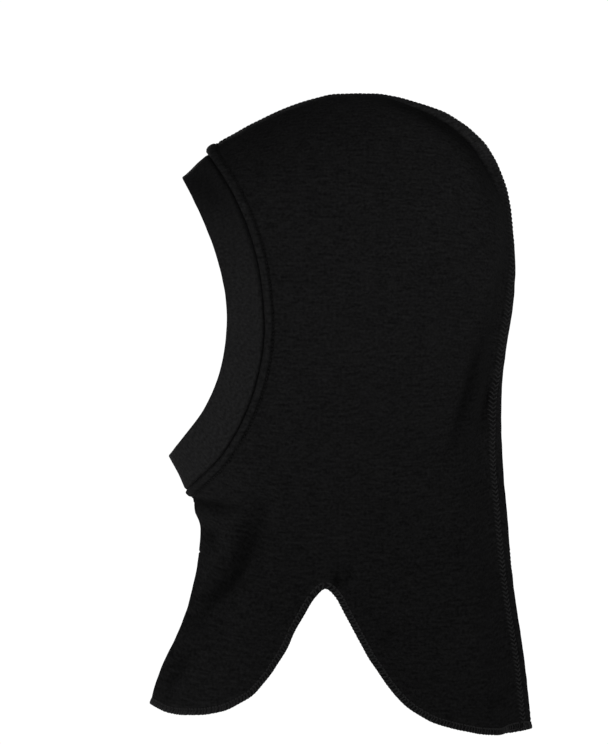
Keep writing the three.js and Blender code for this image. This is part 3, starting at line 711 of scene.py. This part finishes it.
def satin(name, dark, light, weave):
    """The blank label: a smooth ribbon with a fine cross weave."""
    n = material(name)
    place, _, v = n.flat_place()
    rib = n.math("SINE", n.math("MULTIPLY", v, 2 * math.pi / weave))
    uneven = n.noise(n.product(place, (0.25, 3, 1)), 2)
    n.bump(n.math("MULTIPLY_ADD", rib, 0.3, uneven), 0.06, 0.4)
    n.surface(n.ramp(uneven, dark, light), 0.45, 0.4, 0.05)
    return n.owner


PANEL_KNIT = knit(
    "panel_knit", (0.0051, 0.0051, 0.0052), (0.0149, 0.0149, 0.0152),
    streak=7.5, wale=0.85, course=0.6, relief=0.32, sheen=0.002,
)
BAND_KNIT = knit(
    "band_knit", (0.0096, 0.0096, 0.0098), (0.0208, 0.0208, 0.0212),
    streak=1.8, wale=0.7, course=0.55, relief=0.3, sheen=0.003,
)
THREAD = spun("seam_thread", (0.005, 0.005, 0.0051), (0.0165, 0.0165, 0.0168), 0.005)
COVER_THREAD = spun("cover_thread", (0.0045, 0.0045, 0.0046), (0.014, 0.014, 0.0143), 0.004)
# Painted shadow: the topstitch thread is nearly black, so the needle holes read as dark dots.
SHADOWED_TOP_THREAD = spun("topstitch_thread_painted_shadow", (0.0012, 0.0012, 0.0012), (0.003, 0.003, 0.003), 0)
LABEL = satin("label_satin", (0.62, 0.61, 0.58), (0.74, 0.73, 0.7), weave=0.35)

# ---- Stage: a pale floor, soft light and a long lens
FLOOR_SIZE, FLOOR_Z = 36, -0.95  # metres; far enough down to be out of the view
FLOOR_GLOW = 0.5
SURROUNDINGS, BACKDROP = 0.13, 1.05  # strength of the room's own light, and as the camera sees it
LIGHTS = [  # name, place in metres, size, watts
    ("back_of_head", (0.64, -0.38, 0.36), 0.5, 2.8),
    ("overhead_front", (-0.3, -0.86, 0.46), 0.5, 2.5),
    ("low_left", (-1.35, -0.55, -0.6), 0.8, 6.5),
    ("low_front", (-1.1, -1.3, -0.5), 0.8, 1.3),
    ("low_right", (1.0, -1.7, -0.5), 0.8, 0.6),
    ("far_side", (-0.6, 3.0, 0.1), 1.2, 34),
]
AIM = (-30.6, 0, -44.9)  # the middle of the view
DISTANCE, VIEW_HEIGHT, SENSOR = 15.0, 0.407, 36


def stage():
    bpy.ops.mesh.primitive_plane_add(size=FLOOR_SIZE, location=(0, 0, FLOOR_Z))
    floor = bpy.context.object
    floor.name = "floor"
    n = material("floor_paper")
    n.surface((0.88, 0.88, 0.88, 1), 0.9, 0.2, 0)
    n.link((1, 1, 1, 1), n.shader.inputs["Emission Color"])
    n.link(FLOOR_GLOW, n.shader.inputs["Emission Strength"])
    floor.data.materials.append(n.owner)

    bpy.context.scene.world = bpy.data.worlds.new("studio")
    n = Nodes(bpy.context.scene.world, "Background")
    seen = n.add("LightPath").outputs["Is Camera Ray"]
    strength = n.add("MapRange", {"Value": seen, "To Min": SURROUNDINGS, "To Max": BACKDROP})
    n.link(strength.outputs["Result"], n.shader.inputs["Strength"])
    n.link((1, 1, 1, 1), n.shader.inputs["Color"])
    for name, place, size, power in LIGHTS:
        data = bpy.data.lights.new(name, "AREA")
        data.shape, data.size, data.energy = "DISK", size, power
        light = bpy.data.objects.new(name, data)
        light.location = place
        light.visible_camera = False
        light.rotation_euler = (-Vector(place)).to_track_quat("-Z", "Y").to_euler()
        bpy.context.collection.objects.link(light)


def camera():
    """Level, and square to the side of the head."""
    data = bpy.data.cameras.new("camera")
    data.sensor_width = SENSOR
    data.lens = SENSOR * DISTANCE / VIEW_HEIGHT
    data.clip_end = 40
    eye = bpy.data.objects.new("camera", data)
    eye.location = Vector(AIM) * MM + Vector((0, -DISTANCE, 0))
    eye.rotation_euler = (math.pi / 2, 0, 0)
    bpy.context.collection.objects.link(eye)
    bpy.context.scene.camera = eye
    bpy.context.scene.view_settings.view_transform = "Standard"


# ---- Side panels
HOOD_RINGS, FLAP_RINGS = 72, 50
FINE_RINGS, FINE_STEP = 20, 0.45  # the rings next to the outline
POLE = 2.0  # radius of the first ring
RAY_STEPS = 240
FLAP_EASE = 1.4  # above 1, a flap's rings get closer towards its hem
SEAM_REACH, SEAM_PITCH = 11, 0.5  # the rows beside the face seam
CENTRE_ROWS, HEM_ROWS, ARCH_ROWS, FACE_ROWS = 2.5, 2.3, 1.6, 1.0  # how far apart the others are
PANELS = {  # the node each cloth stands for, how it is held, and its flat sides and area in metres
    "hood": ("hood_panel", "stretched", (0.24, 0.29), 0.052),
    "front_flap": ("front_flap", "hung", (0.11, 0.09), 0.0062),
    "back_flap": ("back_flap", "hung", (0.13, 0.1), 0.008),
}


def past_fold(x, z):
    """How far outside the fold's circle a place of the side view lies."""
    return np.hypot(x - EAR[0], z - EAR[1]) - FOLD_RADIUS


def split(line):
    """A line of the side view, cut where it crosses the fold's circle."""
    away = past_fold(*line.T)
    parts, start = [], line[:1]
    last = 1
    for i in np.nonzero(np.diff(np.sign(away)))[0]:
        share = away[i] / (away[i] - away[i + 1])
        cut = line[i] * (1 - share) + line[i + 1] * share
        parts.append(np.vstack([start, line[last : i + 1], cut]))
        start, last = cut[None], i + 1
    parts.append(np.vstack([start, line[last:]]))
    return parts


def free(line, pitch):
    """Points of the side view along a free edge, a pitch apart over the form."""
    return evenly(lifted(line), pitch)[:, [0, 2]]


def graded(line, coarse):
    """A line's points, a coarse pitch apart, but closer at its start, by the face seam."""
    total = lengths(line)[-1]
    rest = np.linspace(SEAM_REACH, total, round((total - SEAM_REACH) / coarse) + 1)
    return along(line, np.concatenate([np.arange(0, SEAM_REACH, SEAM_PITCH), rest]))


# Each part of an outline is its points, and whether it lies on the centre line.
crown_in, crown_out = split(crown_flat)
hem_back, arch, hem_front = split(hem_flat)
chin_in, chin_out = split(chin_flat)
BACK_FLAP = [
    (evenly(crown_out, CENTRE_ROWS), True), (free(hem_back[::-1], HEM_ROWS)[::-1], False),
]
FRONT_FLAP = [(free(hem_front, HEM_ROWS), False), (evenly(chin_out[::-1], CENTRE_ROWS), True)]
OUTLINE = [
    (graded(crown_in, CENTRE_ROWS), True), *BACK_FLAP, (free(arch, ARCH_ROWS), False),
    *FRONT_FLAP, (graded(chin_in, CENTRE_ROWS)[::-1], True),
    (free(seam_flat[::-1], FACE_ROWS), False),
]


def ray(end, on_centre):
    """A fine row of points over the form, from the ear to a point of the outline."""
    share = np.sin(np.linspace(0, np.pi / 2, RAY_STEPS))
    line = EAR + (np.array(end) - EAR) * share[:, None]
    row = on_form(*line.T)
    if on_centre:
        row[-1] = (end[0], 0, end[1])
    return row


def hood_places(fold_at, total):
    """How far along a row of the hood its points lie."""
    fine = fold_at - FINE_STEP * np.arange(FINE_RINGS, -1, -1)
    return np.concatenate([np.linspace(POLE, fine[0], HOOD_RINGS - FINE_RINGS)[:-1], fine])


def flap_places(fold_at, total):
    share = 1 - (1 - np.linspace(0, 1, FLAP_RINGS)) ** FLAP_EASE
    return fold_at + (total - fold_at) * share


def rows_to(outline, places, loop=False):
    """Rows of points that end at an outline or the fold, and how far along its row each lies."""
    rows, arcs = [], []
    for k, (points, on_centre) in enumerate(outline):
        for end in points[:-1] if loop or k < len(outline) - 1 else points:
            row = ray(end, on_centre)
            at = lengths(row)
            arc = places(np.interp(0, past_fold(row[:, 0], row[:, 2]), at), at[-1])
            rows.append(along(row, arc))
            arcs.append(arc)
            if on_centre and arc[-1] > at[-1] - 1e-6:
                rows[-1][-1] = row[-1]
    return np.array(rows), np.array(arcs)


def flat_map(rows, arcs):
    """Each point's place on the flat cloth, in millimetres, at its bearing from the ear."""
    way = unit(rows[:, -1][:, [0, 2]] - EAR)
    return (arcs[:, :, None] * way[:, None]).reshape(-1, 2)


def grid_rim(count, size):
    """The outline of a grid, as point numbers in order."""
    first = np.arange(count) * size
    last = first + size - 1
    parts = [np.arange(size), last[1:], last[-1] - np.arange(1, size), first[-2:0:-1]]
    return np.concatenate(parts)


def slab(name, rows, arcs, side, pole=None):
    """Cloth over rows of points: its outer face, its inner face, and the rim between them."""
    count, size = rows.shape[:2]
    points, uv = rows.reshape(-1, 3), flat_map(rows, arcs)
    faces = [grid_faces(count, size, loop=pole is not None)]
    if pole is None:
        rim = grid_rim(count, size)
    else:
        first = np.arange(count) * size
        rim = first + size - 1
        points, uv = np.vstack([points, pole]), np.vstack([uv, [0, 0]])
        middle = np.full(count, len(points) - 1)
        faces.append(np.stack([middle, first, np.roll(first, -1)], axis=1))
    behind = len(points)
    step = np.roll(rim, -1)
    cloth = Cloth(points * [1, -side, 1])
    faces += [f + behind for f in faces]
    faces.append(np.stack([rim, rim + behind, step + behind, step], axis=1))
    both = np.vstack([cloth.at(0), cloth.at(-CLOTH)])
    shade = np.concatenate([cloth.shade, np.full(len(points), PLAIN)])
    return make(name, both, faces, PANEL_KNIT, np.vstack([uv, uv]), shade=shade)


def attach(piece, node=None, flap=None):
    """Fix a piece to the hood, or bake a flap's piece in place in its mesh, and hide the imported
    part that it stands for.
    """
    if flap:
        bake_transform(piece)
    else:
        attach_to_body(piece, "hood")
    if node:
        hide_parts(node)


def panels():
    rows = {
        "hood": rows_to(OUTLINE, hood_places, loop=True),
        "front_flap": rows_to(FRONT_FLAP, flap_places),
        "back_flap": rows_to(BACK_FLAP, flap_places),
    }
    for side, word in SIDES:
        for part, (node, held, flat, area) in PANELS.items():
            flap, pole = (None, on_form(*EAR)[None]) if part == "hood" else (part, None)
            cloth = slab(f"{word}_{part}_cloth", *rows[part], side, pole)
            attach(cloth, f"{word}_{node}", flap)


# ---- The band round the face
BAND_STEPS = 230  # of half the ring
NOSE_STEPS = 8  # round the fold
OUTER_STEPS, INNER_STEPS = 16, 12  # across the ply that shows, and across the others
BAND_END = 0.1  # how far before the seam the plies stop


def band_profile(width):
    """Distance from the fold and depth under the outer face, for a strip folded in half."""
    half, end = BAND_THICK / 2, width - BAND_END
    turn = np.linspace(0, np.pi, NOSE_STEPS + 1)[1:-1]

    def ply(start, stop, steps, depth):
        return [(w, depth) for w in np.linspace(start, stop, steps)]

    def nose(radius, way):
        return [(half - radius * math.sin(a), half + way * radius * math.cos(a)) for a in turn]

    outside = ply(end, half, OUTER_STEPS, 0) + nose(half, -1)
    back = ply(half, end, INNER_STEPS, BAND_THICK) + ply(end, half, INNER_STEPS, BAND_THICK - PLY)
    return np.array(outside + back + nose(half - PLY, 1) + ply(half, end, INNER_STEPS, PLY))


def band_rings():
    rings, depths, across = [], [], []
    for e, s in zip(eased(edge_flat, BAND_STEPS + 1), eased(seam_flat, BAND_STEPS + 1)):
        width = np.linalg.norm(s - e)
        profile = band_profile(width)
        line = e + (s - e) * (profile[:, :1] / width)
        rings.append(on_form(*line.T))
        depths.append(profile[:, 1])
        across.append(profile[:, 0] / width)
    for centre in (rings[0], rings[-1]):
        centre[:, 1] = 0
    return np.array(rings), np.array(depths), np.array(across)


def face_band():
    left, depths, across = band_rings()
    width = both_halves(np.linalg.norm(left[:, 0] - left[:, OUTER_STEPS], axis=1))
    rings = both_halves(left, left * [1, -1, 1])
    depths, across = both_halves(depths), both_halves(across)
    count, size = rings.shape[:2]
    base = rings.reshape(-1, 3)
    normal = normal_at(rings)
    # The strip puffs out except at the chin and forehead, and dips at the seam. Over the
    # forehead it sinks towards the seam.
    centre = 1 - smooth(np.abs(rings[:, :, 1]), 0, 26)
    brow = centre * (rings[:, :, 2] > 0)
    puff = (0.5 - 0.9 * centre) * np.sin(np.pi * np.clip(across, 0, 1)) ** 0.6
    by_seam = 1 - smooth((1 - across) * width[:, None], 0, 1.3)
    puff = puff - (1.15 - 0.3 * centre - 0.75 * brow) * by_seam - 1.8 * brow * across
    sunk, dark = folded(base, BAND_FOLDS)
    lift = (unevenness(base) + sunk).reshape(count, size) + puff - depths
    points = rings + normal * lift[:, :, None]
    u = lengths(np.vstack([rings[:, 0], rings[:1, 0]]))[:-1]
    profile = np.stack([across[0] * width[0], depths[0]])
    v = np.cumsum(np.hypot(*np.diff(profile, axis=1, prepend=0)))
    uv = np.stack(np.broadcast_arrays(u[:, None], v[None]), axis=-1).reshape(-1, 2)
    # Painted shade in the band's folds, and over the forehead, where the band is darker.
    shade = PLAIN * (1 - dark) * (1 - BROW_PAINTED_SHADE * smooth(base[:, 2], -20, 50))
    faces = grid_faces(count, size, loop=True, rings=True)
    band = make("face_band_cloth", points, [faces], BAND_KNIT, uv, shade=shade)
    attach(band, "face_band")


# ---- Stitching
COVER_LEAD = 1.7  # how far a chevron's middle runs ahead of its ends
UNDERLAY_HALF = 2.1
COVER_CLEAR = 1.5  # between the cover seam's ends and the roll or the fold
HEM_CLEAR = 1.6  # between the cover seam and the overlock


def stitches(name, groups, size, node=None, flap=None, material=THREAD):
    """One piece of thread from groups of paths and reference directions."""
    points, faces = joined([tubes(paths, refs, *size) for paths, refs in groups])
    attach(make(name, points, [faces], material, sharp=75), node, flap)


def on_strip(strip, starts, pattern, side):
    """A stitch pattern of (s, c, height) rows repeated at places along a strip, on the cloth."""
    pattern = np.array(pattern, float)
    s = starts[:, None] + pattern[:, 0]
    return laid(strip.point(s, pattern[:, 1]), pattern[:, 2], side)


def face_topstitches():
    count = round(FACE.length / TOPSTITCH_PITCH)
    starts = (np.arange(count) + 0.1) * FACE.length / count
    pattern = np.array([(0, -0.4), (0.1, 0.2), (0.6, 0.42), (1.1, 0.2), (1.2, -0.4)])
    s = starts[:, None] + pattern[:, 0]
    row = FACE.point(s, roll_width(s))
    groups = [laid(row, pattern[:, 1], side) for side, _ in SIDES]
    stitches("face_topstitches", groups, TOP_SIZE, "face_topstitch", material=SHADOWED_TOP_THREAD)


def fold_place(strip):
    """Where along a line it crosses the fold's circle."""
    p = strip.point(strip.at, 0)
    return strip.at[np.nonzero(np.diff(np.sign(past_fold(p[:, 0], p[:, 2]))))[0]]


def seam_cover(starts):
    """Chevrons over the crown and back seam, whose ends go into the cloth."""
    c = np.linspace(-COVER_HALF, COVER_HALF, 13)
    out = np.abs(c) / COVER_HALF
    return laid(beside_crown(starts[:, None] + COVER_LEAD * (1 - out), c), 0.16 - 0.6 * out**12)


def seam_underlay(starts):
    """A zigzag on the inside of the crown and back seam."""
    c = np.linspace(-UNDERLAY_HALF, UNDERLAY_HALF, 9)
    wave = COVER_PITCH / 2 * (np.arange(9) % 2)
    return laid(beside_crown(starts[:, None] + wave, c), -CLOTH - 0.3)


def crown_seam():
    (fold_at,) = fold_place(CROWN)
    hood = np.arange(roll_width(0) + COVER_CLEAR, fold_at - COVER_CLEAR, COVER_PITCH)
    end = CROWN_LENGTH - OVERLOCK_WIDTH - HEM_CLEAR
    back = np.arange(hood[-1] + COVER_PITCH, end, COVER_PITCH)
    for starts, seam, flap in ((hood, "crown_seam", None), (back, "back_flap_seam", "back_flap")):
        over, under = [seam_cover(starts)], [seam_underlay(starts)]
        stitches(f"{seam}_stitches", over, COVER_SIZE, f"{seam}_cover", flap, COVER_THREAD)
        stitches(f"{seam}_inner_stitches", under, INNER_SIZE, f"{seam}_underlay", flap)


def overlock(starts, side):
    """Loops over the hem's edge, and the row of needle stitches that holds them."""
    w = OVERLOCK_WIDTH
    out, inside = 0.1, -CLOTH - 0.1
    loop = np.array([
        (0, w, -0.2), (0.1, w - 0.4, out), (0.4, w - 1.3, out + 0.06), (0.75, w - 2.3, out + 0.06),
        (1.0, 0.3, out), (1.05, 0.0, -0.1), (1.05, -0.1, -CLOTH / 2), (1.05, 0.0, -CLOTH + 0.1),
        (1.1, 0.3, inside), (1.4, 1.2, inside - 0.06), (1.8, 2.3, inside - 0.06),
        (2.1, w, inside + 0.4),
    ])
    needle = [(0.1, w, -0.3), (0.3, w, 0.2), (1.0, w, 0.32), (1.7, w, 0.2), (1.9, w, -0.3)]
    random = np.random.default_rng(11)
    starts = starts + random.normal(0, 0.24, len(starts))
    lean = 1 + 0.25 * random.normal(size=len(starts))[:, None]
    s = starts[:, None] + loop[:, 0] * lean
    loops, _ = laid(HEM.point(s, loop[:, 1]), loop[:, 2], side)
    middle = (loops[:, 3] + loops[:, 9]) / 2
    return [(loops, unit(loops - middle[:, None])), on_strip(HEM, starts, needle, side)]


def hem():
    back_at, front_at = fold_place(HEM)
    back_at -= 1.2
    count = round(HEM.length / OVERLOCK_PITCH)
    starts = np.arange(count) * HEM.length / count
    for side, word in SIDES:
        groups = overlock(starts[(starts >= back_at) & (starts <= front_at)], side)
        name = f"{word}_arch_overlock"
        stitches(f"{name}_thread", groups, OVERLOCK_SIZE, name)
    ends = {"back_flap": starts[starts < back_at], "front_flap": starts[starts > front_at]}
    for flap, part in ends.items():
        groups = overlock(part, LEFT) + overlock(part, RIGHT)
        stitches(f"{flap}_overlock_thread", groups, OVERLOCK_SIZE, f"{flap}_overlock", flap)


# ---- Inside
FIN_STEP, FIN_HALF, FIN_DEPTH = 1.2, 0.75, 3.6  # the front seam's turned edges
FIN_FROM = 2.0  # how far in from the form they start
LABEL_LEVELS, LABEL_DEPTH = (-77, -47), 19
RIBBON, RIBBON_BEND = 0.22, 0.45  # the label's thickness, and the radius of its fold


def face_seam_edges():
    """The turned edges of the panels and the band, in a ring under the face seam."""
    top, low = -CLOTH - 0.12, -CLOTH - 1.5
    profile = np.array([
        (0.4, top), (1.6, top), (3.2, top), (4.6, top), (5.1, top - 0.3), (5.2, (top + low) / 2),
        (5.1, low + 0.3), (4.6, low), (3.2, low), (1.6, low), (0.4, low),
    ])
    p = FACE.point(FACE.at[:, None], profile[:, 0])
    rings = both_halves(*(laid(p, profile[:, 1], side)[0] for side, _ in SIDES))
    count, size = rings.shape[:2]
    i, j = np.divmod(np.arange(count * size), size)
    uv = np.stack([EDGE_PITCH * i, profile[j, 0]], axis=1)
    faces = grid_faces(count, size, loop=True, rings=True)
    piece = make("face_seam_edges", rings, [faces], PANEL_KNIT, uv)
    attach(piece, "face_seam_allowance")
    starts = np.arange(1.5, FACE.length - 3, OVERLOCK_PITCH * 1.3)
    loop = [
        (0, 2.6, low), (0.4, 3.2, low - 0.35), (1.1, 4.4, low - 0.4), (1.4, 5.2, low - 0.25),
        (1.5, 5.6, low + 0.35), (1.6, 5.5, top - 0.35), (1.7, 5.0, top - 0.1),
    ]
    groups = [on_strip(FACE, starts, loop, side) for side, _ in SIDES]
    stitches("face_seam_edge_thread", groups, EDGE_SIZE)


def inner_way(p):
    """The way into the hood from points on its centre line."""
    return unit(-normal_at(p) * [1, 0, 1])


def fin(name, start, end, node, flap=None):
    """The front seam's turned edges, standing inside along the centre line, and their thread."""
    s = np.arange(start, end, FIN_STEP)
    line = CHIN.point(s, 0)
    half, depth = FIN_HALF, FIN_DEPTH
    profile = np.array([
        (0, -half), (1.8, -half), (3.2, -half), (depth, -half / 2), (depth, half / 2),
        (3.2, half), (1.8, half), (0, half),
    ])
    d, y = profile.T
    wave = 0.25 * np.sin(s / 3.1) + 0.2 * np.sin(s / 7.3)
    rings = line[:, None] + inner_way(line)[:, None] * (FIN_FROM + d)[:, None]
    rings[:, :, 1] += y + wave[:, None] * d / depth
    count, size = rings.shape[:2]
    caps = np.stack([np.arange(size), (count - 1) * size + np.arange(size)])
    uv = np.stack(np.divmod(np.arange(count * size), size), axis=1) * [FIN_STEP, 0.9]
    faces = [grid_faces(count, size, rings=True), caps]
    attach(make(name, rings, faces, PANEL_KNIT, uv), node, flap)
    # Loops round the free edge.
    starts = np.arange(s[0] + 1, s[-1] - 3, OVERLOCK_PITCH)
    turn = np.linspace(-np.pi * 0.8, np.pi * 0.8, 9)
    middle = CHIN.point(starts[:, None] + 1.3 * (turn + np.pi) / (2 * np.pi), 0)
    inner = inner_way(middle)
    centre = middle + inner * 4.4
    paths = centre + inner * (1.5 * np.cos(turn))[:, None]
    paths[..., 1] += 1.15 * np.sin(turn)
    groups = [(paths, unit(paths - centre))]
    stitches(name.replace("edges", "edge_thread"), groups, EDGE_SIZE, flap=flap)


def front_seam():
    fold_at = fold_place(CHIN)[0]
    fin("chin_seam_edges", 7.5, fold_at, "chin_seam_allowance")
    end = CHIN_LENGTH - 5.5
    fin("front_flap_seam_edges", fold_at, end, "front_flap_seam_allowance", "front_flap")


def band_join():
    """The band's own join under the chin: a zigzag across its inner ply."""
    edge, seam = np.array(BAND_EDGE[-1]), np.array(FACE_SEAM[-1])
    share = np.linspace(0.12, 0.86, 21)[:, None]
    p = on_centre(edge + (seam - edge) * share)
    normal = normal_at(p)
    p[:, 1] = np.where(np.arange(len(p)) % 2, 0.9, -0.9)
    path = p - normal * (BAND_THICK + 0.25)
    groups = [(path[None], normal[None])]
    stitches("face_band_join_stitches", groups, EDGE_SIZE, "face_band_join")


def care_label():
    """A blank ribbon folded in half, caught in the back seam inside the nape."""
    out = np.linspace(0, LABEL_DEPTH, 16)
    turn = np.linspace(0, np.pi, 7)[1:-1]
    sides = []
    for offset in (RIBBON_BEND, RIBBON_BEND - RIBBON):
        bent = [(LABEL_DEPTH + offset * math.sin(a), offset * math.cos(a)) for a in turn]
        sides.append([(x, offset) for x in out] + bent + [(x, -offset) for x in out[::-1]])
    profile = np.array(sides[0] + sides[1][::-1])
    d, y = profile.T
    size = len(profile)
    levels = np.linspace(*LABEL_LEVELS, 21)
    start = np.interp(levels, BACK[:, 1], BACK[:, 0]) - 3.4
    tilt = np.linspace(0, 1, len(levels))[:, None]
    sway = -4.4 * (1 - smooth(d, 0, 16)) + 0.5 * np.sin(d / 5 + 2 * tilt)
    points = np.broadcast_arrays(start[:, None] - d, sway + y, levels[:, None])
    k = np.arange(size // 2 - 1)
    caps = np.stack([k, k + 1, size - 2 - k, size - 1 - k], axis=1)
    faces = [grid_faces(len(levels), size, rings=True), caps, caps + (len(levels) - 1) * size]
    run = np.minimum(np.arange(size), size - 1 - np.arange(size))
    uv = np.stack([np.tile(run, len(levels)), np.repeat(levels, size)], axis=1)
    piece = make("care_label_ribbon", np.stack(points, axis=-1), faces, LABEL, uv)
    attach(piece, "care_label")


camera()
stage()
panels()
face_band()
face_topstitches()
crown_seam()
hem()
face_seam_edges()
front_seam()
band_join()
care_label()
